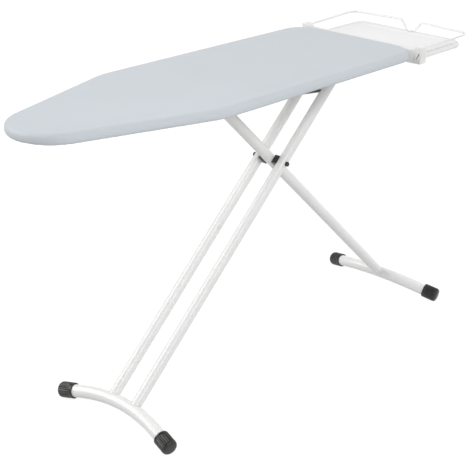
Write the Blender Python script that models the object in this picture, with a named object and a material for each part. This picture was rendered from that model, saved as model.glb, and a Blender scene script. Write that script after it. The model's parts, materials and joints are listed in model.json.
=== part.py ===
"""Ironing board with folding scissor legs and an iron rest.

Metres, +Z up. +X runs along the board from its pointed nose to its tail, and +Y points away from the
user, so "front" is the user's side at -Y and "back" is +Y. The origin is on the floor under the middle
of the whole object. The board stands at one of its working heights.

The legs are an exact scissor: both have the same length above the centre pivot and the same length
below it. The twin leg's top end turns on a fixed hinge near the tail, and the single leg's top end
slides in a rail under the board, so the board stays level at every height.
"""

import math

import bmesh
import bpy
from mathutils import Quaternion, Vector

# Clearances
GAP = 0.0003            # between pieces that touch
BORE_PLAY = 0.0003      # round a pin in its hole

# Board: cover, pad and deck
BOARD_LENGTH = 1.21     # from nose to tail, over the cover
BOARD_WIDTH = 0.42      # over the cover
NOSE_RADIUS = 0.108
SHOULDER_FROM_NOSE = 0.4234
SHOULDER_RADIUS = 0.18
TAIL_CORNER_RADIUS = 0.08
COVER_THICKNESS = 0.0015
COVER_TOP_ROUNDING = 0.011
COVER_BOTTOM_ROUNDING = 0.007
COVER_HEM_INSET = 0.045  # how far the cover is pulled in under the board
FOAM_THICKNESS = 0.006
DECK_THICKNESS = 0.0008
RIM_CLEARANCE = 0.0007  # between the rim and the cover round it
RIM_HEIGHT = 0.0148
RIM_LIP = 0.0158        # width of the rim's two flanges
RIM_WALL = 0.001
CROSSBAR_WIDTH = 0.026
CROSSBAR_WALL = 0.001
TAIL_CROSSBAR_SETBACK = 0.015  # from the cover's hem to the last crossbar's middle

# Legs
LEAN = math.radians(43.0)       # between a leg and the floor, at the rest height
RAISE = math.radians(7.0)       # the lean can grow by this much, to the greatest height
UPPER_LENGTH = 0.3147           # from a leg's top pin to the centre pivot
LOWER_LENGTH = 0.7946           # from the centre pivot to the line through the foot caps' middles
HINGE_FROM_TAIL = 0.1362        # from the board's tail to the twin leg's hinge
HINGE_DROP = 0.0355             # from the cover's underside down to the hinge
TWIN_SPACING = 0.080            # between the twin tubes' centre lines
TWIN_RADIUS = 0.014
SINGLE_RADIUS = 0.015
LEG_WALL = 0.001
LEG_OVERRUN = 0.014             # of a leg tube past its top pin
PLUG_DEPTH = 0.008
PLUG_RIM = 0.0035
PLUG_CHAMFER = 0.0015

# Feet
FOOT_RADIUS = 0.017
FOOT_WALL = 0.0012
FOOT_HALF_SPAN = 0.1815         # from the leg's middle to the middle of a cap
FOOT_BEND_HALF_SPAN = 0.130     # the foot tube is bent as far as this, and straight beyond
FOOT_SPLAY = math.radians(16.5)  # of its straight ends
CAP_RADIUS = 0.021
CAP_LENGTH = 0.046
CAP_END_WALL = 0.005
CAP_ROUNDING = 0.004
CAP_FLAT_DEPTH = 0.0012         # cut off the cap's lowest edge, to stand on

# Pins, pivots and brackets
PIN_RADIUS = 0.004
PIN_HEAD_RADIUS = 0.007
PIN_HEAD_THICKNESS = 0.0022
SPACER_SIZE = 0.024
END_CAP_RADIUS = 0.0065
END_CAP_THICKNESS = 0.0063
END_CAP_BORE_DEPTH = 0.004
END_CAP_ROUNDING = 0.0025
BRACKET_WALL = 0.0015
HINGE_EAR_GAP = 0.002           # between a twin tube and the ear beside it
HINGE_BRACKET_WIDTH = 0.040
HINGE_EAR_BELOW_PIN = 0.012

# Height rail
RAIL_WALL = 0.0015
RAIL_CLEARANCE = 0.0015         # between the single tube and the rail's walls
RAIL_BELOW_PIN = 0.015
RAIL_FRONT_MARGIN = 0.014       # from the slot's nose end to the rail's end
RAIL_REAR_MARGIN = 0.052        # from the slot's tail end to the rail's end
BUSH_RADIUS = 0.006
BUSH_FLANGE_RADIUS = 0.0085
BUSH_FLANGE_THICKNESS = 0.0018
SLIDE_PIN_OVERHANG = 0.002      # of the slide pin past the rack

# Release lever and toothed rack
RACK_THICKNESS = 0.002
RACK_CLEARANCE = 0.0005         # from the tooth tips to the slide pin
RACK_PITCH = 0.024
RACK_NOTCHES_TO_NOSE = 4
RACK_NOTCHES_TO_TAIL = 2
RACK_TOOTH_DEPTH = 0.005
RACK_TOOTH_LAND = 0.004
RACK_HEIGHT = 0.014
RACK_NOSE_MARGIN = 0.010        # from the first tooth to the rack's nose end
RACK_NOSE_CHAMFER = 0.004
RACK_ARM_START = 0.012          # from the last notch's pin to the arm
RACK_ARM_WIDTH = 0.012
RACK_EYE_RADIUS = 0.009         # round the lever rod
LEVER_RADIUS = 0.004
LEVER_Z_ABOVE_HINGE = 0.0247
LEVER_FROM_HEM = 0.015          # from the handle's line out to the cover's hem
LEVER_HANDLE = 0.130            # length of the handle along the board
LEVER_HANDLE_DROP = 0.0155
LEVER_BEND = 0.014
LEVER_INNER_EAR_Y = -0.030
LEVER_OUTER_EAR_SETBACK = 0.004  # from the start of the handle's bend to the outer ear
LEVER_BRACKET_WIDTH = 0.018
LEVER_EAR_BELOW_ROD = 0.007
GRIP_RADIUS = 0.0065
GRIP_LENGTH = 0.082
GRIP_PAST_ROD = 0.005
GRIP_CHAMFER = 0.001
GRIP_ROUNDING = 0.004
SPRING_WIRE_RADIUS = 0.0007
SPRING_TURNS = 5
SPRING_PITCH = 0.0022
SPRING_START_Y = -0.062

# Iron rest
REST_REACH = 0.265              # from the board's tail to the rest's outer edge
REST_WIDTH = 0.368
REST_TUBE_RADIUS = 0.008
REST_TUBE_WALL = 0.0012
REST_CORNER_RADIUS = 0.030
REST_PLATE_THICKNESS = 0.0012
BEAM_SETBACK = 0.0041           # from the cover's tail to the beam
BEAM_WALL = 0.0015
BEAM_DEPTH = 0.0255
BEAM_HEIGHT = 0.0365
BEAM_OVERHANG = 0.0025          # of the beam past the rest's sides
PLATE_FROM_BEAM = 0.002
BEAM_LEG_CLEARANCE = 0.0015     # between the folded single leg and the beam above it
CARRIER_INSIDE_CORNER = 0.018   # from where the tail corner's rounding starts to the carrier's side
CARRIER_WIDTH = 0.024
CARRIER_THICKNESS = 0.003
CARRIER_START = 0.030           # from the carrier's first end to the cover's hem
CARRIER_STEP_START = 0.007      # from where the carrier steps down to the hem
CARRIER_STEP_END = 0.002
CARRIER_STEP_SHIFT = 0.002      # of the step's lower side towards the nose
CARRIER_ABOVE_BEAM_FOOT = 0.002
CORNER_WIDTH = 0.0207
CORNER_DEPTH = 0.0295
CORNER_HEIGHT = 0.0462
CORNER_ROUNDING = 0.002
CORNER_SLOT_INNER_MARGIN = 0.006
CORNER_SLOT_OUTER_MARGIN = 0.005
CORNER_SLOT_HEIGHTS = (0.012, 0.030)
CORNER_SLOT_WIDTH = 0.0032
CORNER_SLOT_DEPTH = 0.008
WIRE_RADIUS = 0.00275
WIRE_HALF_SPAN = 0.200
WIRE_START_ABOVE_PLATE = 0.0205
WIRE_CORNER_ABOVE_PLATE = 0.0265
WIRE_TOP_ABOVE_PLATE = 0.0310
WIRE_SETBACK = 0.0165           # from the rest's outer edge to the wire
WIRE_DIP_Y = -0.010
WIRE_DIP_TOP_HALF = 0.036
WIRE_DIP_LOW_HALF = 0.013
WIRE_STRAIGHT = 0.030           # from the wire's end to its first bend
WIRE_FLARE = 0.003              # how much wider the wire is at its far corners
WIRE_END_BEND = 0.020
WIRE_CORNER_BEND = 0.022
WIRE_DIP_TOP_BEND = 0.008
WIRE_DIP_LOW_BEND = 0.006

# Heights and places that follow from the sizes above
CAP_TILT = math.asin(math.sin(FOOT_SPLAY) * math.sin(LEAN))
CAP_REACH_DOWN = (
    (CAP_LENGTH / 2 - CAP_ROUNDING) * math.sin(CAP_TILT)
    + (CAP_RADIUS - CAP_ROUNDING) * math.cos(CAP_TILT)
    + CAP_ROUNDING
)
CAP_Z = CAP_REACH_DOWN - CAP_FLAT_DEPTH
HINGE_Z = CAP_Z + (UPPER_LENGTH + LOWER_LENGTH) * math.sin(LEAN)

COVER_UNDERSIDE = HINGE_Z + HINGE_DROP
RIM_INSET = COVER_THICKNESS + RIM_CLEARANCE
RIM_BOTTOM = COVER_UNDERSIDE + RIM_INSET
RIM_TOP = RIM_BOTTOM + RIM_HEIGHT
DECK_BOTTOM = RIM_TOP + GAP
FOAM_BOTTOM = DECK_BOTTOM + DECK_THICKNESS + GAP
FOAM_TOP = FOAM_BOTTOM + FOAM_THICKNESS
COVER_TOP = FOAM_TOP + GAP + COVER_THICKNESS
UNDER_CROSSBARS = RIM_BOTTOM - GAP

NOSE_X = -(BOARD_LENGTH + REST_REACH) / 2
TAIL_X = NOSE_X + BOARD_LENGTH
REST_END_X = TAIL_X + REST_REACH
HINGE_X = TAIL_X - HINGE_FROM_TAIL
PIVOT_X = HINGE_X - UPPER_LENGTH * math.cos(LEAN)
PIVOT_Z = HINGE_Z - UPPER_LENGTH * math.sin(LEAN)
TWIN_Y = TWIN_SPACING / 2

SIDES = {"front": -1, "back": 1}


def slide_pin_x(lean):
    """Where the single leg's top pin is along the rail when the legs lean by this angle."""
    return HINGE_X - 2 * UPPER_LENGTH * math.cos(lean)


SLOT_PLAY = BUSH_RADIUS + BORE_PLAY
SLOT_START_X = slide_pin_x(0.0) - SLOT_PLAY
SLOT_END_X = slide_pin_x(LEAN + RAISE) + SLOT_PLAY
RAIL_START_X = SLOT_START_X - RAIL_FRONT_MARGIN
RAIL_END_X = SLOT_END_X + RAIL_REAR_MARGIN
RAIL_HALF_WIDTH = SINGLE_RADIUS + RAIL_CLEARANCE + RAIL_WALL

LEVER_X = RAIL_END_X - CROSSBAR_WIDTH / 2
LEVER_Z = HINGE_Z + LEVER_Z_ABOVE_HINGE
LEVER_REACH = BOARD_WIDTH / 2 - COVER_HEM_INSET - LEVER_FROM_HEM  # from the board's middle to the handle

BEAM_X = TAIL_X + BEAM_SETBACK
BEAM_BOTTOM = HINGE_Z + SINGLE_RADIUS + BEAM_LEG_CLEARANCE
BEAM_TOP = BEAM_BOTTOM + BEAM_HEIGHT
REST_TUBE_Y = REST_WIDTH / 2 - REST_TUBE_RADIUS
REST_TUBE_Z = BEAM_BOTTOM + BEAM_WALL + GAP + REST_TUBE_RADIUS
CARRIER_Y = BOARD_WIDTH / 2 - TAIL_CORNER_RADIUS - CARRIER_INSIDE_CORNER - CARRIER_WIDTH / 2
PLATE_BOTTOM = REST_TUBE_Z + REST_TUBE_RADIUS + GAP
PLATE_TOP = PLATE_BOTTOM + REST_PLATE_THICKNESS


# ---------------------------------------------------------------- materials


def make_material(name, colour, roughness, metallic=0.0):
    material = bpy.data.materials.new(name)
    material.use_nodes = True
    shader = material.node_tree.nodes["Principled BSDF"]
    shader.inputs["Base Color"].default_value = (*colour, 1.0)
    shader.inputs["Roughness"].default_value = roughness
    shader.inputs["Metallic"].default_value = metallic
    material.diffuse_color = (*colour, 1.0)
    return material


def make_materials():
    return {
        "cover_cloth": make_material("cover_cloth", (0.61, 0.65, 0.68), 0.85),
        "foam": make_material("foam", (0.80, 0.78, 0.70), 0.95),
        "white_paint": make_material("white_paint", (0.88, 0.88, 0.87), 0.35),
        "plate_paint": make_material("plate_paint", (0.78, 0.78, 0.78), 0.40),
        "white_plastic": make_material("white_plastic", (0.90, 0.90, 0.90), 0.40),
        "black_plastic": make_material("black_plastic", (0.02, 0.018, 0.016), 0.45),
        "zinc_steel": make_material("zinc_steel", (0.60, 0.60, 0.62), 0.35, 1.0),
    }


# ------------------------------------------------------------- mesh helpers


def circle(radius, sides):
    """Points of a circle in the plane of a section, as pairs."""
    turns = [2 * math.pi * (step + 0.5) / sides for step in range(sides)]
    return [(radius * math.cos(turn), radius * math.sin(turn)) for turn in turns]


def arc(centre, radius, start, end, steps):
    """Points on an arc in a plane, from one angle to another, in degrees."""
    points = []
    for step in range(steps + 1):
        angle = math.radians(start + (end - start) * step / steps)
        points.append((centre[0] + radius * math.cos(angle), centre[1] + radius * math.sin(angle)))
    return points


def add_object(name, mesh, material, parent=None):
    if material:
        mesh.materials.append(material)
    mesh.shade_smooth()
    mesh.set_sharp_from_angle(angle=math.radians(35))
    body = bpy.data.objects.new(name, mesh)
    bpy.context.scene.collection.objects.link(body)
    body.parent = parent
    return body


def loft(name, rings, material, parent=None, looped=False):
    """One closed body through rings with equal numbers of points.

    The first and last rings are closed with a face, or joined to each other when looped.
    """
    bm = bmesh.new()
    rows = [[bm.verts.new(point) for point in ring] for ring in rings]
    pairs = list(zip(rows, rows[1:]))
    if looped:
        pairs.append((rows[-1], rows[0]))
    else:
        bm.faces.new(rows[0])
        bm.faces.new(rows[-1])
    for first, second in pairs:
        for index in range(len(first)):
            following = (index + 1) % len(first)
            bm.faces.new((first[index], first[following], second[following], second[index]))
    bmesh.ops.recalc_face_normals(bm, faces=bm.faces)
    mesh = bpy.data.meshes.new(name)
    bm.to_mesh(mesh)
    bm.free()
    return add_object(name, mesh, material, parent)


def prism(name, outline, plane, start, end, material, parent=None):
    """An outline in the XY, XZ or YZ plane, extruded along the third axis from start to end."""
    place = {
        "XY": lambda a, b, depth: (a, b, depth),
        "XZ": lambda a, b, depth: (a, depth, b),
        "YZ": lambda a, b, depth: (depth, a, b),
    }[plane]
    rings = [[place(a, b, depth) for a, b in outline] for depth in (start, end)]
    return loft(name, rings, material, parent)


def turned(name, profile, material, location, direction, sides=24, parent=None, looped=False):
    """A body turned from (height, radius) pairs, with its axis along direction."""
    rings = [[(a, b, height) for a, b in circle(radius, sides)] for height, radius in profile]
    body = loft(name, rings, material, parent, looped)
    body.location = location
    body.rotation_mode = "QUATERNION"
    body.rotation_quaternion = Vector(direction).to_track_quat("Z", "Y")
    return body


def along_path(path, section):
    """The section's points at each point of a path, turning as little as it can on the way."""
    points = [Vector(point) for point in path]
    ends = [points[0]] + points + [points[-1]]
    rings = []
    side = None
    before = None
    for index, point in enumerate(points):
        tangent = (ends[index + 2] - ends[index]).normalized()
        if side is None:
            side = tangent.orthogonal().normalized()
        else:
            side = before.rotation_difference(tangent) @ side
        across = tangent.cross(side)
        rings.append([point + side * a + across * b for a, b in section])
        before = tangent
    return rings


def rod_along(name, path, radius, material, parent=None, sides=16):
    return loft(name, along_path(path, circle(radius, sides)), material, parent)


def tube_along(name, path, radius, wall, material, parent=None, sides=20):
    """A hollow tube that is open at both ends."""
    outside = along_path(path, circle(radius, sides))
    inside = along_path(path, circle(radius - wall, sides))
    return loft(name, outside + inside[::-1], material, parent, looped=True)


def rounded_path(corners, radii, steps=6):
    """A path through corner points, with each inner corner rounded to its own radius."""
    points = [Vector(corner) for corner in corners]
    path = [points[0]]
    for before, corner, after, radius in zip(points, points[1:], points[2:], radii):
        back = (before - corner).normalized()
        ahead = (after - corner).normalized()
        half = back.angle(ahead) / 2
        inward = (back + ahead).normalized()
        centre = corner + inward * (radius / math.sin(half))
        start = corner + back * (radius / math.tan(half)) - centre
        end = corner + ahead * (radius / math.tan(half)) - centre
        turn = start.rotation_difference(end)
        for step in range(steps + 1):
            share = Quaternion(turn.axis, turn.angle * step / steps)
            path.append(centre + share @ start)
    path.append(points[-1])
    return path


def cut(body, cutter):
    """Takes the cutter's shape out of the body."""
    cutter.hide_render = True
    cutter.display_type = "WIRE"
    modifier = body.modifiers.new(cutter.name, "BOOLEAN")
    modifier.operation = "DIFFERENCE"
    modifier.solver = "EXACT"
    modifier.object = cutter


def drill(body, location, direction, radius, length, parent=None):
    """A round hole, centred on its location."""
    profile = [(-length / 2, radius), (length / 2, radius)]
    cutter = turned(body.name + "_drill", profile, None, location, direction, 20, parent)
    cut(body, cutter)


def bevel(body, width):
    modifier = body.modifiers.new("bevel", "BEVEL")
    modifier.width = width
    modifier.segments = 2


def add_frame(name, location, turn):
    """An empty on a joint's axis, which carries the pieces that turn with it."""
    empty = bpy.data.objects.new(name, None)
    empty.location = location
    empty.rotation_euler = (0, turn, 0)
    bpy.context.scene.collection.objects.link(empty)
    return empty


# -------------------------------------------------------------------- board


def board_outline(inset, z):
    """The board's outline in plan, moved inwards by inset: a round nose, a straight taper to each
    shoulder, parallel sides and round tail corners."""
    half_width = BOARD_WIDTH / 2
    nose = (NOSE_X + NOSE_RADIUS, 0.0)
    to_shoulder = (SHOULDER_FROM_NOSE - NOSE_RADIUS, half_width)
    distance = math.hypot(*to_shoulder)
    taper = math.atan2(to_shoulder[1], to_shoulder[0]) - math.asin(NOSE_RADIUS / distance)
    shoulder_y = half_width - SHOULDER_RADIUS
    shoulder_offset = shoulder_y * math.cos(taper) - (NOSE_RADIUS - SHOULDER_RADIUS)
    shoulder = (nose[0] + shoulder_offset / math.sin(taper), shoulder_y)
    corner = (TAIL_X - TAIL_CORNER_RADIUS, half_width - TAIL_CORNER_RADIUS)
    square = 90 + math.degrees(taper)
    half = arc(nose, NOSE_RADIUS - inset, 180, square, 12)
    half += arc(shoulder, SHOULDER_RADIUS - inset, square, 90, 4)
    half += arc(corner, TAIL_CORNER_RADIUS - inset, 90, 0, 8)
    mirrored = [(x, -y) for x, y in half[:0:-1]]
    return [(x, y, z) for x, y in half + mirrored]


def half_width_at(x, inset):
    """Half the width of the board's outline at one place along it, between the nose and the tail."""
    upper = [(a, b) for a, b, _ in board_outline(inset, 0.0) if b > NOSE_RADIUS / 2]
    for (start_x, start_y), (end_x, end_y) in zip(upper, upper[1:]):
        if start_x <= x <= end_x:
            return start_y + (end_y - start_y) * (x - start_x) / (end_x - start_x)
    raise ValueError("outside the board")


def board_loft(name, profile, material, looped=False):
    """A body that follows the board's outline, through (inset, z) pairs."""
    rings = [board_outline(inset, z) for inset, z in profile]
    return loft(name, rings, material, looped=looped)


def cover_edge(offset):
    """The cover's edge in section, as (inset, z) pairs from its top to its underside."""
    top_centre = (COVER_TOP_ROUNDING, COVER_TOP - COVER_TOP_ROUNDING)
    bottom_centre = (COVER_BOTTOM_ROUNDING, COVER_UNDERSIDE + COVER_BOTTOM_ROUNDING)
    top = arc(top_centre, COVER_TOP_ROUNDING - offset, 90, 180, 4)
    bottom = arc(bottom_centre, COVER_BOTTOM_ROUNDING - offset, 180, 270, 3)
    hem = (COVER_HEM_INSET, COVER_UNDERSIDE + offset)
    return top + bottom + [hem]


def make_cover(materials):
    """The cover wraps the edge of the deck, and is open underneath."""
    profile = cover_edge(0.0) + cover_edge(COVER_THICKNESS)[::-1]
    board_loft("ironing_cover", profile, materials["cover_cloth"])


def make_foam_pad(materials):
    centre = (COVER_TOP_ROUNDING, COVER_TOP - COVER_TOP_ROUNDING)
    radius = FOAM_TOP - centre[1]
    lowest = math.degrees(math.asin((FOAM_BOTTOM - centre[1]) / radius))
    profile = arc(centre, radius, 90, 180 - lowest, 4)
    board_loft("foam_pad", profile, materials["foam"])


def make_deck(materials):
    inset = RIM_INSET + RIM_CLEARANCE + GAP
    profile = [(inset, DECK_BOTTOM), (inset, DECK_BOTTOM + DECK_THICKNESS)]
    board_loft("steel_deck", profile, materials["white_paint"])


def make_rim(materials):
    """A folded channel under the deck's edge, open towards the middle of the board."""
    radius = COVER_BOTTOM_ROUNDING - RIM_INSET
    centre = (COVER_BOTTOM_ROUNDING, RIM_BOTTOM + radius)
    lip = RIM_INSET + RIM_LIP
    outside = [(lip, RIM_BOTTOM)] + arc(centre, radius, 270, 180, 2)
    outside += [(RIM_INSET, RIM_TOP), (lip, RIM_TOP)]
    inside = [(lip, RIM_TOP - RIM_WALL), (RIM_INSET + RIM_WALL, RIM_TOP - RIM_WALL)]
    inside += arc(centre, radius - RIM_WALL, 180, 270, 2) + [(lip, RIM_BOTTOM + RIM_WALL)]
    board_loft("deck_rim", outside + inside, materials["white_paint"], looped=True)


def channel_outline(low, high, width, centre, wall):
    """A channel in section, open downwards, as (across, z) pairs."""
    left = centre - width / 2
    right = centre + width / 2
    return [
        (left, low),
        (left, high),
        (right, high),
        (right, low),
        (right - wall, low),
        (right - wall, high - wall),
        (left + wall, high - wall),
        (left + wall, low),
    ]


def make_crossbars(materials):
    """Channels across the deck, between the rim's flanges, that carry everything below."""
    inset = RIM_INSET + RIM_LIP + 2 * GAP
    places = {
        "crossbar_rail_front": RAIL_START_X + CROSSBAR_WIDTH / 2,
        "crossbar_rail_rear": RAIL_END_X - CROSSBAR_WIDTH / 2,
        "crossbar_hinge": HINGE_X,
        "crossbar_tail": TAIL_X - COVER_HEM_INSET - TAIL_CROSSBAR_SETBACK,
    }
    for name, x in places.items():
        edges = (x - CROSSBAR_WIDTH / 2, x + CROSSBAR_WIDTH / 2)
        half_length = min(half_width_at(edge, inset) for edge in edges)
        outline = channel_outline(RIM_BOTTOM, RIM_TOP, CROSSBAR_WIDTH, x, CROSSBAR_WALL)
        prism(name, outline, "XZ", -half_length, half_length, materials["white_paint"])


# -------------------------------------------------------- rail and hinges


def make_height_rail(materials):
    """An inverted channel whose two walls carry the slot for the single leg's pin."""
    low = HINGE_Z - RAIL_BELOW_PIN
    outline = channel_outline(low, UNDER_CROSSBARS, 2 * RAIL_HALF_WIDTH, 0.0, RAIL_WALL)
    rail = prism("height_rail", outline, "YZ", RAIL_START_X, RAIL_END_X, materials["white_paint"])
    start = (SLOT_START_X + SLOT_PLAY, HINGE_Z)
    end = (SLOT_END_X - SLOT_PLAY, HINGE_Z)
    slot = arc(start, SLOT_PLAY, 90, 270, 8) + arc(end, SLOT_PLAY, -90, 90, 8)
    cut(rail, prism("rail_slot", slot, "XZ", -2 * RAIL_HALF_WIDTH, 2 * RAIL_HALF_WIDTH, None))


def make_twin_leg_hinge(side, materials):
    """One bracket with two ears beside a twin tube's top end, and the pin through them."""
    sign = SIDES[side]
    inner = TWIN_Y - TWIN_RADIUS - HINGE_EAR_GAP - BRACKET_WALL
    outer = TWIN_Y + TWIN_RADIUS + HINGE_EAR_GAP + BRACKET_WALL
    outline = channel_outline(
        HINGE_Z - HINGE_EAR_BELOW_PIN,
        UNDER_CROSSBARS,
        outer - inner,
        sign * TWIN_Y,
        BRACKET_WALL,
    )
    start = HINGE_X - HINGE_BRACKET_WIDTH / 2
    end = HINGE_X + HINGE_BRACKET_WIDTH / 2
    bracket = prism("hinge_bracket_" + side, outline, "YZ", start, end, materials["white_paint"])
    centre = (HINGE_X, sign * TWIN_Y, HINGE_Z)
    drill(bracket, centre, (0, 1, 0), PIN_RADIUS + BORE_PLAY, 2 * (outer - inner))
    seat = (outer - inner) / 2 + GAP
    profile = [
        (-seat - PIN_HEAD_THICKNESS, PIN_HEAD_RADIUS),
        (-seat, PIN_HEAD_RADIUS),
        (-seat, PIN_RADIUS),
        (seat, PIN_RADIUS),
        (seat, PIN_HEAD_RADIUS),
        (seat + PIN_HEAD_THICKNESS, PIN_HEAD_RADIUS),
    ]
    turned("hinge_pin_" + side, profile, materials["zinc_steel"], centre, (0, 1, 0), 20)


# ---------------------------------------------------------------- iron rest


def make_tail_beam(materials):
    """A channel across the board's tail, open away from the board."""
    outline = [
        (BEAM_X, BEAM_BOTTOM),
        (BEAM_X, BEAM_TOP),
        (BEAM_X + BEAM_DEPTH, BEAM_TOP),
        (BEAM_X + BEAM_DEPTH, BEAM_TOP - BEAM_WALL),
        (BEAM_X + BEAM_WALL, BEAM_TOP - BEAM_WALL),
        (BEAM_X + BEAM_WALL, BEAM_BOTTOM + BEAM_WALL),
        (BEAM_X + BEAM_DEPTH, BEAM_BOTTOM + BEAM_WALL),
        (BEAM_X + BEAM_DEPTH, BEAM_BOTTOM),
    ]
    half_length = REST_WIDTH / 2 + BEAM_OVERHANG
    prism("tail_beam", outline, "XZ", -half_length, half_length, materials["white_paint"])


def make_beam_carrier(side, materials):
    """A bent strip from the tail crossbar, under the cover's hem, to the beam."""
    top = COVER_UNDERSIDE - GAP
    pad_top = UNDER_CROSSBARS
    hem_x = TAIL_X - COVER_HEM_INSET
    start_x = hem_x - CARRIER_START
    step_start = hem_x - CARRIER_STEP_START
    step_end = hem_x - CARRIER_STEP_END
    face = BEAM_X - GAP
    thick = CARRIER_THICKNESS
    foot = BEAM_BOTTOM + CARRIER_ABOVE_BEAM_FOOT
    outline = [
        (start_x, pad_top - thick),
        (start_x, pad_top),
        (step_start, pad_top),
        (step_end, top),
        (face, top),
        (face, foot),
        (face - thick, foot),
        (face - thick, top - thick),
        (step_end - CARRIER_STEP_SHIFT, top - thick),
        (step_start - CARRIER_STEP_SHIFT, pad_top - thick),
    ]
    middle = SIDES[side] * CARRIER_Y
    start = middle - CARRIER_WIDTH / 2
    end = middle + CARRIER_WIDTH / 2
    prism("beam_carrier_" + side, outline, "XZ", start, end, materials["white_paint"])


def make_rest_corner(side, materials):
    """A moulding on the beam's end, which holds the guard wire's end and has a slanted slot."""
    sign = SIDES[side]
    inner = REST_WIDTH / 2 + BEAM_OVERHANG + GAP
    outer = inner + CORNER_WIDTH
    bottom = BEAM_BOTTOM
    top = BEAM_BOTTOM + CORNER_HEIGHT
    outline = [
        (BEAM_X, bottom),
        (BEAM_X + CORNER_DEPTH, bottom),
        (BEAM_X + CORNER_DEPTH, top),
        (BEAM_X, top),
    ]
    low_y, high_y = sorted((sign * inner, sign * outer))
    corner = prism("rest_corner_" + side, outline, "XZ", low_y, high_y, materials["white_plastic"])
    bevel(corner, CORNER_ROUNDING)
    hole_start = (BEAM_X + CORNER_DEPTH / 2, sign * WIRE_HALF_SPAN, PLATE_TOP + WIRE_START_ABOVE_PLATE)
    hole_length = CORNER_DEPTH + CORNER_ROUNDING
    hole_centre = Vector(hole_start) + Vector((hole_length / 2 - GAP, 0, 0))
    drill(corner, hole_centre, (1, 0, 0), WIRE_RADIUS + BORE_PLAY, hole_length)
    low_height, high_height = CORNER_SLOT_HEIGHTS
    slot_low = Vector((sign * (inner + CORNER_SLOT_INNER_MARGIN), bottom + low_height))
    slot_high = Vector((sign * (outer - CORNER_SLOT_OUTER_MARGIN), bottom + high_height))
    lean = (slot_high - slot_low).normalized()
    across = Vector((-lean.y, lean.x)) * CORNER_SLOT_WIDTH / 2
    slot = [slot_low - across, slot_low + across, slot_high + across, slot_high - across]
    slot_start = BEAM_X - CORNER_SLOT_DEPTH
    slot_end = BEAM_X + CORNER_SLOT_DEPTH
    cut(corner, prism("corner_slot_" + side, slot, "YZ", slot_start, slot_end, None))


def make_rest_frame(materials):
    """A tube bent into a U, whose ends stand in the beam."""
    inner_x = BEAM_X + BEAM_WALL + GAP
    outer_x = REST_END_X - REST_TUBE_RADIUS
    corners = [
        (inner_x, -REST_TUBE_Y, REST_TUBE_Z),
        (outer_x, -REST_TUBE_Y, REST_TUBE_Z),
        (outer_x, REST_TUBE_Y, REST_TUBE_Z),
        (inner_x, REST_TUBE_Y, REST_TUBE_Z),
    ]
    path = rounded_path(corners, [REST_CORNER_RADIUS] * 2)
    wall = REST_TUBE_WALL
    tube_along("rest_frame_tube", path, REST_TUBE_RADIUS, wall, materials["white_paint"], sides=16)


def make_rest_plate(materials):
    """The plate that an iron or a steam generator stands on, welded on top of the frame tube."""
    start = BEAM_X + BEAM_DEPTH + PLATE_FROM_BEAM
    end = REST_END_X - REST_TUBE_RADIUS
    half = REST_TUBE_Y + REST_TUBE_RADIUS / 4
    radius = REST_CORNER_RADIUS
    outline = [(start, -half)]
    outline += arc((end - radius, radius - half), radius, -90, 0, 6)
    outline += arc((end - radius, half - radius), radius, 0, 90, 6)
    outline += [(start, half)]
    prism("rest_plate", outline, "XY", PLATE_BOTTOM, PLATE_TOP, materials["plate_paint"])


def make_guard_wire(materials):
    """A wire round the rest, above the plate, that dips to the plate in the middle of its far side."""
    start_x = BEAM_X + CORNER_DEPTH / 2
    far_x = REST_END_X - WIRE_SETBACK
    start_z = PLATE_TOP + WIRE_START_ABOVE_PLATE
    corner_z = PLATE_TOP + WIRE_CORNER_ABOVE_PLATE
    top_z = PLATE_TOP + WIRE_TOP_ABOVE_PLATE
    low_z = PLATE_TOP + WIRE_RADIUS + GAP
    bend_x = start_x + WIRE_STRAIGHT
    far_y = WIRE_HALF_SPAN + WIRE_FLARE
    corners = [
        (start_x, WIRE_HALF_SPAN, start_z),
        (bend_x, WIRE_HALF_SPAN, start_z),
        (far_x, far_y, corner_z),
        (far_x, WIRE_DIP_Y + WIRE_DIP_TOP_HALF, top_z),
        (far_x, WIRE_DIP_Y + WIRE_DIP_LOW_HALF, low_z),
        (far_x, WIRE_DIP_Y - WIRE_DIP_LOW_HALF, low_z),
        (far_x, WIRE_DIP_Y - WIRE_DIP_TOP_HALF, top_z),
        (far_x, -far_y, corner_z),
        (bend_x, -WIRE_HALF_SPAN, start_z),
        (start_x, -WIRE_HALF_SPAN, start_z),
    ]
    half = [WIRE_END_BEND, WIRE_CORNER_BEND, WIRE_DIP_TOP_BEND, WIRE_DIP_LOW_BEND]
    path = rounded_path(corners, half + half[::-1], steps=4)
    rod_along("guard_wire", path, WIRE_RADIUS, materials["white_paint"], sides=10)


# --------------------------------------------------------------------- legs


def foot_rise(y):
    """How far the foot tube's centre line lies up the leg from the line through the caps."""
    bend_rise = (FOOT_HALF_SPAN - FOOT_BEND_HALF_SPAN) * math.tan(FOOT_SPLAY)
    radius = FOOT_BEND_HALF_SPAN / math.sin(FOOT_SPLAY)
    middle = bend_rise + radius * (1 - math.cos(FOOT_SPLAY))
    return middle - radius + math.sqrt(radius**2 - y**2)


def foot_path(foot_x):
    """The foot tube's centre line in its leg's own frame: bent in the middle, straight at its ends."""
    path = []
    for step in range(-6, 7):
        angle = FOOT_SPLAY * step / 6
        y = FOOT_BEND_HALF_SPAN * math.sin(angle) / math.sin(FOOT_SPLAY)
        path.append((foot_x - foot_rise(y), y, 0.0))
    into_cap = CAP_LENGTH / 2 - CAP_END_WALL - GAP
    end_x = foot_x + into_cap * math.sin(FOOT_SPLAY)
    end_y = FOOT_HALF_SPAN + into_cap * math.cos(FOOT_SPLAY)
    return [(end_x, -end_y, 0.0)] + path + [(end_x, end_y, 0.0)]


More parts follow.
